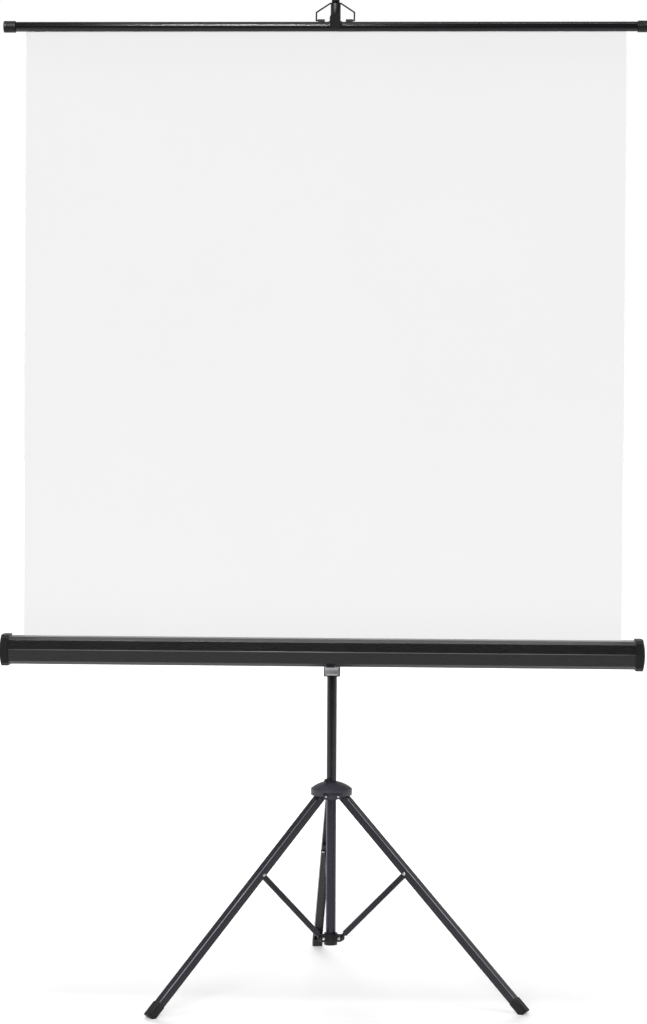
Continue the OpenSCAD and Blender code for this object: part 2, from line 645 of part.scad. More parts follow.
module bail_wire() color("#141416") translate([pole_x, pole_y + rail_y, clip_z]) rotate([-hook_lean, 0, 0])
  for (s = [-1, 1]) let (route = bail_route(s)) {
    for (k = [0:3]) wire_leg(route[k], route[k + 1]);
    for (k = [1:3]) translate([route[k][0], 0, route[k][1]]) sphere(d = wire_d);
  }

// Mast
module mast_tube() color("#2a2a2e") on_pole()
  translate([0, 0, mast_foot]) tube(mast_d, tube_wall, head_foot - mast_foot);
module mast_head() color("#3c3c40") on_pole() difference() {
  union() {
    translate([0, 0, head_foot]) cylinder(d = head_d, h = hook_z - head_foot);
    translate([0, 0, head_foot]) cylinder(d = head_cap_d, h = head_top - head_foot - 3);
    translate([0, 0, head_top - 3]) cylinder(d1 = head_cap_d, d2 = head_cap_d - 6, h = 3);
    translate([0, 0, head_foot - spigot_len]) cylinder(d = mast_d - 2 * tube_wall - 2 * seat_gap, h = spigot_len + 1);
  }
  // Notch that the bail swings into, round the bail's own hinge line
  intersection() {
    translate([0, rail_y, clip_z]) difference() {
      rod_x(2 * hook_reach + wire_d + 2 * free_gap, far);
      rod_x(2 * hook_reach - wire_d - 2 * free_gap, far);
    }
    translate([-far / 2, wire_y - far, clip_z]) cube([far, far, far]);
  }
  translate([0, wire_y, hook_z]) rod_x(wire_d + 2 * free_gap, far);
}
module mast_bush() color("#d0d0ce") on_pole() translate([0, 0, mast_foot])
  tube(pole_d - 2 * tube_wall - 2 * slide_gap, (pole_d - mast_d) / 2 - tube_wall - slide_gap - seat_gap, 30);

pole_tube();
brace_collar();
collar_rivets();
hub_stop_ring();
mast_collar();
mast_knob();
hub_dome();
hub_pins();
hub_knob();
leg_left();
leg_right();
leg_rear();
foot_left();
foot_right();
foot_rear();
leg_rivet_left();
leg_rivet_right();
leg_rivet_rear();
brace_left();
brace_right();
brace_rear();
carriage_body();
guide_key();
clamp_lever();
lever_pin();
case_shell();
case_cap_left();
case_cap_right();
case_bracket();
roller_tube();
fabric_roll();
roller_plug_left();
roller_plug_right();
spring_spindle();
torsion_spring();
screen_fabric();
hem_rod();
rail_tube();
rail_cap_left();
rail_cap_right();
rail_saddle();
bail_clips();
bail_wire();
mast_tube();
mast_head();
mast_bush();
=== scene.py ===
"""Looks of the tripod projection screen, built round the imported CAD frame."""

import json
import math

import bmesh
import bpy
from mathutils import Matrix, Vector


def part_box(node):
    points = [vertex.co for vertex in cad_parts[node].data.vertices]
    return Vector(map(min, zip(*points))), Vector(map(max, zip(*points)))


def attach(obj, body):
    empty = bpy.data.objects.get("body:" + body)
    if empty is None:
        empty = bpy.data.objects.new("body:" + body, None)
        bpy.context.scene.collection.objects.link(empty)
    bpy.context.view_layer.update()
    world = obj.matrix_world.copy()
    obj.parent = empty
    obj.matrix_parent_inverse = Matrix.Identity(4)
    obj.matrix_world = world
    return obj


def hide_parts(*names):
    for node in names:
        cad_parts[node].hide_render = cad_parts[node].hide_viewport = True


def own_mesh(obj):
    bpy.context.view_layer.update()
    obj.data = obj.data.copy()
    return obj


bl_info = {
    "name": "Tripod Projection Screen",
    "version": (1, 0, 0),
    "blender": (4, 5, 0),
    "location": "3D View > Sidebar > Screen",
    "description": "Dresses the packed tripod projection screen and sets up its studio",
    "category": "Object",
}

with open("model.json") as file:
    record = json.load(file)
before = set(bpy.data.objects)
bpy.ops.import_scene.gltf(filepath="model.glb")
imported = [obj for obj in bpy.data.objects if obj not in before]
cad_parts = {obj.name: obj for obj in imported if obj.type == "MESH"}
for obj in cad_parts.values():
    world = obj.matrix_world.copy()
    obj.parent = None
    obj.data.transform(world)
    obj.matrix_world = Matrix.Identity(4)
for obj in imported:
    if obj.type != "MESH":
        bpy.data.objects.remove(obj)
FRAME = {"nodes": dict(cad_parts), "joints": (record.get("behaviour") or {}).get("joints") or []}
NODES = FRAME["nodes"]
JOINTS = {joint["name"]: joint for joint in FRAME["joints"]}
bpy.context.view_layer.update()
MM = 0.001
LEGS = ("left", "right", "rear")

# The camera, measured from the photograph's own perspective: metres and degrees
IMAGE_LONG_SIDE = 1024
FOCAL_PX = 2480.5
SENSOR_MM = 36.0
CAMERA_PLACE = (0.2529, -6.5769, 1.5439)
CAMERA_HEADING = 2.228
CAMERA_PITCH = 2.499
CAMERA_ROLL = 0.302

# The studio: half the floor's width in metres, its white, and the ranges that its light follows
FLOOR_REACH = 60
FLOOR_WHITE = "#f0f0f0"
# Y to share of white: reflections show a studio that is darker in front of the screen
FLOOR_DUSK = {"From Min": -4.5, "From Max": -0.8, "To Min": 0.05, "To Max": 1.0}
# Distance to glow: shadows stay near the feet, and the floor runs out to white
FLOOR_GLOW = {"From Min": 0.7, "From Max": 2.2, "To Min": 0.29, "To Max": 0.65}
# The sheet takes little light from below
FLOOR_BOUNCE = 0.3
# The ray's Y and Z to share of white: the backdrop behind the screen is white, the room in
# front of it and its ceiling are dim
BACKDROP_BEHIND = {"From Min": -0.6, "From Max": 0.3, "To Min": 0.12, "To Max": 1.0}
BACKDROP_BELOW = {"From Min": 0.2, "From Max": 0.5, "To Min": 1.0, "To Max": 0.25}
ROOM_LIGHT = 0.3
# Name, place, tilt in degrees, width and height, watts, and whether it lights matte surfaces.
# The strip only shows in reflections, where it draws the edges on the left.
SOFT_BOXES = (
    ("overhead", (0, -0.42, 7.0), 0, (5.0, 0.6), 60, True),
    ("strip", (-1.1, -3.0, 4.3), 58, (1.8, 0.1), 190, False),
)
# Name, tilt and heading in degrees, and strength of the broad polarised lamps, and their spread
BROAD_LAMPS = (("key", 76, -10, 2.65), ("rear_fill", -65, 10, 2.0))
BROAD_ANGLE = 30

# The sheet's grid, its slight waves, and how the rest of it is wound
SHEET_COLUMNS, SHEET_ROWS = 48, 64
SHEET_WAVE_DEPTH = 0.35 * MM
SHEET_HALF_WAVES = 7
SHEET_WAVE_SLANT = 2
WOUND_CLEARANCE = 0.2 * MM
WOUND_STEPS_PER_TURN = 40

# Details on the case: the bead on its ridge, pale grey as a painted highlight, which lies above the
# middle, between the end caps' laps; the screws in the caps' domed ends; and the rivets through
# the bracket's plate
RIDGE_RISE = 3 * MM
BEAD_SINK = 0.25 * MM
BEAD_DEPTH_SHARE = 0.5
CAP_LAP = 10 * MM
CAP_DOME_RADIUS = 150 * MM
CAP_SCREW_OFFSET = 20 * MM
CAP_SCREW_SINK = 0.5 * MM
CAP_SCREW_RISE = 0.9 * MM
CAP_SCREW_SLOT = 0.8 * MM
BRACKET_PLATE = 3 * MM
RIVET_HEAD = 8 * MM
RIVET_RISE = 2 * MM
RIVET_INSET = 8 * MM
RIVET_OFFSET = 17 * MM

# A screw head's rings and their points, its mix of cone and dome, and its slot's floor
HEAD_RINGS, HEAD_AROUND = 5, 24
HEAD_CONE, HEAD_DOME = 0.45, 0.55
HEAD_SLOT_RINGS = 2
HEAD_SLOT_FLOOR = 0.72

# The lever's rim, bright as a painted highlight of its lower lip: how it lies on the edge,
# with its lift in halves of its height
RIM_SINK = 0.2 * MM
RIM_DEPTH = 0.6 * MM
RIM_INSET = 2 * MM
RIM_LIFT = 1.2
# Steps round a half-round bar
HALF_ROUND_STEPS = 8

# The painted highlight lines on the legs: how far they stop from foot and hub, how far they stand
# out of the corner and reach into it, and the degrees round it, out and back
LINE_FROM_FOOT, LINE_FROM_HUB = 30 * MM, 34 * MM
LINE_PROUD, LINE_SUNK = 0.2 * MM, 0.3 * MM
LINE_OUT, LINE_BACK = range(24, 67, 7), range(66, 23, -14)

# Modifiers on the CAD pieces: the weld's reach, and the rounding's steps and least angle in degrees
WELD_GAP = 0.01 * MM
BEVEL_STEPS = 2
BEVEL_ANGLE = 32

# Noise levels between which colour and gloss change
NOISE_LOW, NOISE_HIGH = 0.3, 0.7
# Spacing of the slow change from handling, dust and uneven coating
CLOUD_MM = 90
CLOTH_CLOUD_MM = 350
# The cloth's darker patches, as a share of its colour
CLOTH_SHADE = 0.985
# The real thread spacing of 0.5 mm is too fine for the render, so it is drawn wider
THREAD_MM = 1.2
# A wave texture of scale 1 repeats over this length in metres
WAVE_LENGTH = 0.314
# A shader's own default, which metals keep
METAL_IOR = 1.5

# What surface() takes for each material. A colour is sRGB hex or the name of a setting.
FINISHES = {
    # Sprayed powder melts to a fine orange peel with a soft sheen
    "powder_coated_steel": dict(colour="tube", grain_mm=0.9, rough=(0.2, 0.28)),
    # The same coat on the rail, even and softly bright along its round
    "powder_coated_aluminium": dict(colour="tube", grain_mm=0.9, rough=(0.2, 0.28)),
    # The pole's lower end, between the legs, has the tripod's purple-black
    "powder_coated_pole": dict(
        colour="tube", grain_mm=0.9, rough=(0.2, 0.28), foot=("#201d2b", 0.5, 0.6)),
    # Dipped dull black, so that the thin wire stays dark against white
    "black_dipped_wire": dict(
        colour="#09090a", grain_mm=0.6, rough=(0.5, 0.6), relief_mm=0.01, ior=1.25),
    # Drawn through a die: faint lines along the length under a satin coat
    "coated_aluminium_extrusion": dict(
        colour="case", grain_mm=1.1, stretch=(0.02, 1, 1), rough=(0.26, 0.31),
        relief_mm=0.008, ior=1.7),
    # Dipped and stoved enamel over pressed sheet: smooth, with a soft gloss
    "stove_enamelled_steel": dict(colour="leg", grain_mm=1.4, rough=(0.23, 0.3), relief_mm=0.01),
    # The ridge's bead: pale grey painted as a highlight line, with real sheen from the strip lamp
    "rubbed_extrusion_edge": dict(
        colour="#5c5c5e", grain_mm=0.7, stretch=(0.05, 1, 1), rough=(0.28, 0.36), shade=0.2,
        relief_mm=0.003, ior=1.8),
    # Bent corners of the legs, painted pale as their highlight
    "rubbed_enamel_edge": dict(colour="edge", grain_mm=0.9, rough=(0.2, 0.32), shade=0.25),
    # Moulded with a spark-eroded grain: dull and even
    "moulded_abs": dict(colour="hub", grain_mm=0.8, rough=(0.4, 0.52), relief_mm=0.03),
    # Grained and slightly waxy
    "moulded_polypropylene": dict(colour="cap", grain_mm=0.8, rough=(0.42, 0.56), relief_mm=0.03),
    # Bright zinc on rivets and pins
    "zinc_plated_steel": dict(
        colour="#cfcfd2", grain_mm=0.6, rough=(0.24, 0.36), metallic=1.0, ior=METAL_IOR),
    # Silver lacquer, rubbed across its width
    "silver_lacquered_zinc": dict(
        colour="lever", grain_mm=0.5, stretch=(0.03, 1, 1), rough=(0.3, 0.44), metallic=0.55),
    # The rim that fingers pull on, painted bright as the highlight of the lever's lower lip
    "rubbed_zinc_edge": dict(
        colour="#e6e6e8", grain_mm=0.5, stretch=(0.05, 1, 1), rough=(0.3, 0.42), metallic=0.2),
    # Left as extruded, with its draw lines
    "mill_finish_aluminium": dict(
        colour="#bfc1c4", grain_mm=0.8, stretch=(0.03, 1, 1), rough=(0.32, 0.46), metallic=1.0,
        ior=METAL_IOR),
    # Drawn and turned without a coat: milky white and matte
    "natural_nylon": dict(colour="#dad8d2", grain_mm=1.0, rough=(0.45, 0.55), shade=0.03),
}


def linear(hex_colour):
    """sRGB hex to linear RGB."""
    parts = [int(hex_colour[i : i + 2], 16) / 255 for i in (1, 3, 5)]
    return tuple(
        part / 12.92 if part <= 0.04045 else ((part + 0.055) / 1.055) ** 2.4
        for part in parts
    )


def rgba(colour):
    """An RGB colour as the four numbers that a socket takes."""
    return (*colour, 1.0)


class SCREEN_PG_sizes(bpy.types.PropertyGroup):
    """Sizes of what is added to the CAD pieces."""

    sheet_thickness: bpy.props.FloatProperty(
        name="Sheet thickness",
        description="Thickness of the white sheet",
        default=0.5 * MM,
        unit="LENGTH",
    )
    wound_pitch: bpy.props.FloatProperty(
        name="Wound pitch",
        description="Distance from one wound layer to the next",
        default=0.56 * MM,
        unit="LENGTH",
    )
    # The bead's pale grey is a painted highlight along the case's ridge
    ridge_bead: bpy.props.FloatProperty(
        name="Ridge bead",
        description="Width of the bead along the front ridge of the case",
        default=2.2 * MM,
        unit="LENGTH",
    )
    screw_head: bpy.props.FloatProperty(
        name="Screw head",
        description="Diameter of the screw heads in the end caps",
        default=7.0 * MM,
        unit="LENGTH",
    )
    # The rim's bright colour is a painted highlight along the lever's lower lip
    lever_rim: bpy.props.FloatProperty(
        name="Lever rim",
        description="Height of the bright rim along the lever's lower edge",
        default=2.6 * MM,
        unit="LENGTH",
    )
    leg_corner: bpy.props.FloatProperty(
        name="Leg corner",
        description="Outer radius of a leg channel's bent corners",
        default=3.0 * MM,
        unit="LENGTH",
    )
    edge_round: bpy.props.FloatProperty(
        name="Edge round",
        description="Rounding of pressed and moulded edges",
        default=0.5 * MM,
        unit="LENGTH",
    )


class SCREEN_PG_colours(bpy.types.PropertyGroup):
    """Colours of the finishes."""

    sheet: bpy.props.FloatVectorProperty(
        name="Sheet",
        description="Matte white coated cloth",
        subtype="COLOR",
        default=linear("#efefef"),
    )
    tube: bpy.props.FloatVectorProperty(
        name="Tubes",
        description="Satin black powder coat on pole, mast, rail and small steel pieces",
        subtype="COLOR",
        default=linear("#151517"),
    )
    case: bpy.props.FloatVectorProperty(
        name="Case",
        description="Satin black coat on the case's extrusion",
        subtype="COLOR",
        default=linear("#101012"),
    )
    leg: bpy.props.FloatVectorProperty(
        name="Legs",
        description="Purple-black stove enamel on legs and braces",
        subtype="COLOR",
        default=linear("#1f1e25"),
    )
    hub: bpy.props.FloatVectorProperty(
        name="Hub",
        description="Purple-black moulded ABS",
        subtype="COLOR",
        default=linear("#3a3842"),
    )
    cap: bpy.props.FloatVectorProperty(
        name="Caps",
        description="Black moulded polypropylene",
        subtype="COLOR",
        default=linear("#111113"),
    )
    # A pale colour painted along the legs' corners as their highlight
    edge: bpy.props.FloatVectorProperty(
        name="Rubbed edges",
        description="Enamel rubbed bright along the legs' corners",
        subtype="COLOR",
        default=linear("#85838f"),
    )
    lever: bpy.props.FloatVectorProperty(
        name="Lever",
        description="Silver lacquer of the clamp lever",
        subtype="COLOR",
        default=linear("#bebec1"),
    )


def sizes():
    """The size settings of the scene."""
    return bpy.context.scene.screen_sizes


def colours():
    """The colour settings of the scene."""
    return bpy.context.scene.screen_colours


def colour_of(colour):
    """Linear RGB of an sRGB hex or of a named colour setting."""
    return linear(colour) if colour.startswith("#") else getattr(colours(), colour)


def nodes_of(owner):
    """The emptied node tree of a new material or world."""
    owner.use_nodes = True
    owner.node_tree.nodes.clear()
    return owner.node_tree


def add(tree, kind, settings=(), inputs=()):
    """Adds a node: settings are its attributes, inputs its sockets' values or links.

    A socket is given by its name, or by its number where names repeat.
    """
    node = tree.nodes.new(kind)
    for name, value in dict(settings).items():
        setattr(node, name, value)
    for name, value in dict(inputs).items():
        socket = node.inputs[name]
        if isinstance(value, bpy.types.NodeSocket):
            tree.links.new(value, socket)
        else:
            socket.default_value = value
    return node


def surface(name, colour, grain_mm, stretch=(1, 1, 1), rough=(0.4, 0.5), shade=0.12,
            relief_mm=0.02, metallic=0.0, ior=1.42, foot=None):
    """A Principled material with grain: grain_mm is the grain's real spacing.

    stretch divides the grain's spacing along X, Y and Z, so a small number draws it
    out. rough is the roughness from low to high grain, shade how far colour varies.
    foot is a second colour for the lower end, and the heights between which it fades.
    """
    material = bpy.data.materials.new(name)
    tree = nodes_of(material)
    spot = add(tree, "ShaderNodeTexCoord").outputs["Object"]
    drawn = add(tree, "ShaderNodeMapping", inputs={"Vector": spot, "Scale": stretch})
    grain = add(tree, "ShaderNodeTexNoise", inputs={
        "Vector": drawn.outputs["Vector"], "Scale": 1 / (grain_mm * MM),
        "Detail": 3.0, "Roughness": 0.55}).outputs["Fac"]
    cloud = add(tree, "ShaderNodeTexNoise", inputs={
        "Vector": spot, "Scale": 1 / (CLOUD_MM * MM), "Detail": 2.0})
    tint = add(tree, "ShaderNodeValToRGB", inputs={"Fac": cloud.outputs["Fac"]})
    dark, pale = tint.color_ramp.elements
    dark.position, pale.position = NOISE_LOW, NOISE_HIGH
    plain = colour_of(colour)
    dark.color = rgba([part * (1 - shade) for part in plain])
    pale.color = rgba([min(1.0, part * (1 + shade)) for part in plain])
    coat = tint.outputs["Color"]
    if foot:
        foot_colour, low, high = foot
        axes = add(tree, "ShaderNodeSeparateXYZ", inputs={"Vector": spot})
        height = add(tree, "ShaderNodeMapRange", inputs={
            "Value": axes.outputs["Z"], "From Min": low, "From Max": high})
        coat = add(tree, "ShaderNodeMixRGB", inputs={
            "Fac": height.outputs["Result"], "Color1": rgba(colour_of(foot_colour)),
            "Color2": coat}).outputs["Color"]
    gloss = add(tree, "ShaderNodeMapRange", inputs={
        "Value": grain, "From Min": NOISE_LOW, "From Max": NOISE_HIGH,
        "To Min": rough[0], "To Max": rough[1]})
    relief = add(tree, "ShaderNodeBump", inputs={
        "Height": grain, "Strength": 0.5, "Distance": relief_mm * MM})
    shader = add(tree, "ShaderNodeBsdfPrincipled", inputs={
        "Base Color": coat, "Roughness": gloss.outputs["Result"],
        "Normal": relief.outputs["Normal"], "Metallic": metallic, "IOR": ior})
    add(tree, "ShaderNodeOutputMaterial", inputs={"Surface": shader.outputs["BSDF"]})
    return material


def screen_cloth(name):
    """Vinyl-coated cloth: matte, with a fine plain weave under the coat."""
    colour = colours().sheet
    material = bpy.data.materials.new(name)
    tree = nodes_of(material)
    spot = add(tree, "ShaderNodeTexCoord").outputs["Object"]
    warp, weft = (
        add(tree, "ShaderNodeTexWave", {"bands_direction": direction}, {
            "Vector": spot, "Scale": WAVE_LENGTH / (THREAD_MM * MM), "Distortion": 0.4})
        for direction in ("X", "Z")
    )
    weave = add(tree, "ShaderNodeMath", {"operation": "MULTIPLY"},
                {0: warp.outputs["Fac"], 1: weft.outputs["Fac"]})
    cloud = add(tree, "ShaderNodeTexNoise", inputs={
        "Vector": spot, "Scale": 1 / (CLOTH_CLOUD_MM * MM), "Detail": 2.0})
    tint = add(tree, "ShaderNodeValToRGB", inputs={"Fac": cloud.outputs["Fac"]})
    dark, pale = tint.color_ramp.elements
    dark.color = rgba([part * CLOTH_SHADE for part in colour])
    pale.color = rgba(colour)
    relief = add(tree, "ShaderNodeBump", inputs={
        "Height": weave.outputs["Value"], "Strength": 0.25, "Distance": 0.03 * MM})
    shader = add(tree, "ShaderNodeBsdfPrincipled", inputs={
        "Base Color": tint.outputs["Color"], "Normal": relief.outputs["Normal"],
        "Roughness": 0.88, "IOR": 1.45, "Specular IOR Level": 0.3})
    add(tree, "ShaderNodeOutputMaterial", inputs={"Surface": shader.outputs["BSDF"]})
    return material


def finish(kind):
    """The material of that name, made on first use."""
    if kind in bpy.data.materials:
        return bpy.data.materials[kind]
    if kind == "screen_cloth":
        return screen_cloth(kind)
    return surface(kind, **FINISHES[kind])


def dress(kind, *names, edge=1.0):
    """Gives CAD nodes a finish and rounds their sharp edges by edge times the shared size."""
    for name in names:
        node = NODES[name]
        node.data.materials.clear()
        node.data.materials.append(finish(kind))
        weld = node.modifiers.new("Weld", "WELD")
        weld.merge_threshold = WELD_GAP
        if edge:
            rounding = node.modifiers.new("Edges", "BEVEL")
            rounding.width = edge * sizes().edge_round
            rounding.segments = BEVEL_STEPS
            rounding.limit_method = "ANGLE"
            rounding.angle_limit = math.radians(BEVEL_ANGLE)
            rounding.harden_normals = True


def new_piece(name, mesh, kind, body, slot, *replaced):
    """Links a mesh as a piece that rides on a body."""
    piece = bpy.data.objects.new(name, mesh)
    bpy.context.scene.collection.objects.link(piece)
    mesh.materials.append(finish(kind))
    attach(piece, body)
    if replaced:
        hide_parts(*replaced)
    return piece


def mesh_of(name, bm, smooth=True):
    """Turns a bmesh into a mesh and frees it."""
    bmesh.ops.recalc_face_normals(bm, faces=bm.faces[:])
    mesh = bpy.data.meshes.new(name)
    bm.to_mesh(mesh)
    bm.free()
    for face in mesh.polygons:
        face.use_smooth = smooth
    return mesh


def band(bm, near, far):
    """Quads between two closed loops of vertices."""
    for k in range(len(near)):
        n = (k + 1) % len(near)
        bm.faces.new((near[k], near[n], far[n], far[k]))


def prism(bm, near, far):
    """Closed bar between two loops of points."""
    a, b = ([bm.verts.new(point) for point in loop] for loop in (near, far))
    band(bm, a, b)
    bm.faces.new(a[::-1])
    bm.faces.new(b)


def half_round(bm, ends, y, z, depth, half):
    """Half-round bar along X from end to end, that bulges by depth towards -Y."""
    turns = [math.pi * (k / HALF_ROUND_STEPS - 0.5) for k in range(HALF_ROUND_STEPS + 1)]
    section = [(y - depth * math.cos(turn), z + half * math.sin(turn)) for turn in turns]
    prism(bm, *[[Vector((x, *point)) for point in section] for x in ends])


def grid(bm, rows):
    """Quads through rows of points, all rows of one length. Returns the rim's vertices."""
    verts = [[bm.verts.new(point) for point in row] for row in rows]
    for low, high in zip(verts, verts[1:]):
        for k in range(len(low) - 1):
            bm.faces.new((low[k], low[k + 1], high[k + 1], high[k]))
    return (verts[0] + [row[-1] for row in verts[1:]]
            + verts[-1][-2::-1] + [row[0] for row in verts[-2:0:-1]])


def thin_sheet(bm, front, back):
    """Front and back grids of points joined round their rims into one thin closed sheet."""
    band(bm, grid(bm, front), grid(bm, back))


def screw_head(bm, place, d, rise, slot_w):
    """Pan head, cross-slotted where slot_w isn't 0.

    Its flat underside sits at place, and it faces +Z before place turns it.
    """
    last = None
    for k in range(HEAD_RINGS):
        share = k / HEAD_RINGS
        turn = share * math.pi / 2
        radius = d / 2 * (math.cos(turn) * HEAD_CONE + HEAD_DOME * (1 - share**2) ** 0.5)
        height = rise * math.sin(turn)
        ring = []
        for j in range(HEAD_AROUND):
            angle = 2 * math.pi * j / HEAD_AROUND
            x, y = radius * math.cos(angle), radius * math.sin(angle)
            in_slot = k >= HEAD_RINGS - HEAD_SLOT_RINGS and min(abs(x), abs(y)) < slot_w
            z = height * (HEAD_SLOT_FLOOR if in_slot else 1)
            ring.append(bm.verts.new(place @ Vector((x, y, z))))
        if last:
            band(bm, last, ring)
        else:
            bm.faces.new(ring[::-1])
        last = ring
    top = bm.verts.new(place @ Vector((0, 0, rise)))
    for j in range(HEAD_AROUND):
        bm.faces.new((last[j], last[(j + 1) % HEAD_AROUND], top))


class SCREEN_OT_sheet(bpy.types.Operator):
    """Makes the white sheet between roller and rail, and the layers left on the roller"""

    bl_idname = "screen.sheet"
    bl_label = "Sheet"

    def execute(self, context):
        half = sizes().sheet_thickness / 2
        low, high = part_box("screen_fabric")
        run = Vector((0, high.y - low.y - 2 * half, high.z - low.z))
        normal = Vector((0, -run.z, run.y)).normalized()
        foot = Vector((0, low.y + half, low.z))

        def point(i, j, side):
            u, v = i / SHEET_COLUMNS, j / SHEET_ROWS
            # A stretched sheet still waves a little between roller and rail
            across = math.sin(SHEET_HALF_WAVES * math.pi * u + SHEET_WAVE_SLANT * v)
            wave = SHEET_WAVE_DEPTH * math.sin(math.pi * v) * across
            at = foot + run * v + normal * (side * half + wave)
            return Vector((low.x + (high.x - low.x) * u, at.y, at.z))

        bm = bmesh.new()
        thin_sheet(bm, *[
            [[point(i, j, side) for i in range(SHEET_COLUMNS + 1)] for j in range(SHEET_ROWS + 1)]
            for side in (1, -1)
        ])
        sheet = new_piece("white_sheet", mesh_of("white_sheet", bm, False), "screen_cloth", "mast",
                          "white_fabric", "screen_fabric")
        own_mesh(sheet)

        low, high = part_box("fabric_roll")
        middle = (low + high) / 2
        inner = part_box("roller_tube")[1].z - middle.z + WOUND_CLEARANCE
        outer = (high.z - low.z) / 2
        turns = (outer - inner - 2 * half) / sizes().wound_pitch
        steps = int(turns * WOUND_STEPS_PER_TURN)

        def wound(j, radius_shift):
            turn = j / steps * turns
            radius = inner + half + sizes().wound_pitch * turn + radius_shift
            angle = 2 * math.pi * (turn - turns)
            y = middle.y + radius * math.cos(angle)
            z = middle.z + radius * math.sin(angle)
            return [Vector((x, y, z)) for x in (low.x, high.x)]

        bm = bmesh.new()
        thin_sheet(bm, *[[wound(j, side * half) for j in range(steps + 1)] for side in (1, -1)])
        roll = new_piece("wound_sheet", mesh_of("wound_sheet", bm, False), "screen_cloth", "roller",
                         "white_fabric", "fabric_roll")
        return {"FINISHED"}


class SCREEN_OT_case(bpy.types.Operator):
    """Finishes the case and its roller; adds the ridge bead, a painted highlight, and screws and
    rivets
    """

    bl_idname = "screen.case"
    bl_label = "Case"

    def execute(self, context):
        dress("coated_aluminium_extrusion", "case_shell", edge=1.2)
        dress("moulded_polypropylene", "case_cap_left", "case_cap_right", edge=2.4)
        dress("powder_coated_steel", "case_bracket")
        dress("mill_finish_aluminium", "roller_tube", edge=0)
        dress("moulded_polypropylene", "roller_plug_left", "roller_plug_right")
        dress("zinc_plated_steel", "spring_spindle", "torsion_spring", edge=0)

        low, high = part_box("case_shell")
        middle = (low + high) / 2
        # A bead whose pale grey paints the highlight along the ridge
        bead = sizes().ridge_bead / 2
        bm = bmesh.new()
        half_round(bm, (low.x + CAP_LAP, high.x - CAP_LAP), low.y + BEAD_SINK,
                   middle.z + RIDGE_RISE, BEAD_DEPTH_SHARE * bead, bead)
        new_piece("case_ridge_bead", mesh_of("case_ridge_bead", bm), "rubbed_extrusion_edge", "case",
                  "black_aluminium")

        bm = bmesh.new()
        for side, node in ((-1, "case_cap_left"), (1, "case_cap_right")):
            cap_low, cap_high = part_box(node)
            end_x = cap_high.x if side > 0 else cap_low.x
            for dz in (-CAP_SCREW_OFFSET, CAP_SCREW_OFFSET):
                # The domed end lies this far inside its tip at the screw
                sag = CAP_DOME_RADIUS - math.sqrt(CAP_DOME_RADIUS**2 - dz * dz)
                seat_x = end_x - side * (sag + CAP_SCREW_SINK)
                place = Matrix.Translation((seat_x, middle.y, middle.z + dz))
                place = place @ Matrix.Rotation(side * math.pi / 2, 4, "Y")
                screw_head(bm, place, sizes().screw_head, CAP_SCREW_RISE, CAP_SCREW_SLOT)
        new_piece("cap_screws", mesh_of("cap_screws", bm), "zinc_plated_steel", "case", "zinc_steel")

        plate_low, plate_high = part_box("case_bracket")
        bm = bmesh.new()
        for x in (plate_low.x + RIVET_INSET, plate_high.x - RIVET_INSET):
            for z in (middle.z - RIVET_OFFSET, middle.z + RIVET_OFFSET):
                place = Matrix.Translation((x, high.y + BRACKET_PLATE, z))
                place = place @ Matrix.Rotation(-math.pi / 2, 4, "X")
                screw_head(bm, place, RIVET_HEAD, RIVET_RISE, 0)
        new_piece("bracket_rivets", mesh_of("bracket_rivets", bm), "zinc_plated_steel", "case",
                  "zinc_steel")
        return {"FINISHED"}


class SCREEN_OT_rail(bpy.types.Operator):
    """Finishes the top rail, its saddle, clips and bail"""

    bl_idname = "screen.rail"
    bl_label = "Rail and bail"

    def execute(self, context):
        dress("powder_coated_aluminium", "rail_tube", edge=0.5)
        dress("moulded_polypropylene", "rail_cap_left", "rail_cap_right", "bail_clips", edge=0.6)
        dress("powder_coated_steel", "rail_saddle")
        dress("black_dipped_wire", "bail_wire", edge=0)
        dress("natural_nylon", "hem_rod", edge=0)
        return {"FINISHED"}


class SCREEN_OT_mast(bpy.types.Operator):
    """Finishes the pole, its stop ring, the mast in it and the mast's clamp"""

    bl_idname = "screen.mast"
    bl_label = "Pole and mast"

    def execute(self, context):
        dress("powder_coated_pole", "pole_tube", edge=0.4)
        dress("powder_coated_steel", "mast_tube", edge=0.4)
        dress("moulded_polypropylene", "mast_head", "mast_collar", "mast_knob")
        dress("natural_nylon", "mast_bush", edge=0)
        dress("zinc_plated_steel", "hub_stop_ring", edge=0)
        return {"FINISHED"}


class SCREEN_OT_carriage(bpy.types.Operator):
    """Finishes the carriage on the pole and its clamp lever, and adds the lever's bright rim, a
    painted highlight
    """

    bl_idname = "screen.carriage"
    bl_label = "Carriage"

    def execute(self, context):
        dress("moulded_polypropylene", "carriage_body", edge=1.6)
        dress("silver_lacquered_zinc", "clamp_lever")
        # A bright rim that paints the highlight on the lever's lower lip
        low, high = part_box("clamp_lever")
        rim = sizes().lever_rim / 2
        bm = bmesh.new()
        half_round(bm, (low.x + RIM_INSET, high.x - RIM_INSET), low.y + RIM_SINK,
                   low.z + RIM_LIFT * rim, RIM_DEPTH, rim)
        new_piece("lever_rim", mesh_of("lever_rim", bm), "rubbed_zinc_edge", "lever", "zinc_steel")
        dress("zinc_plated_steel", "guide_key", "lever_pin", edge=0)
        return {"FINISHED"}


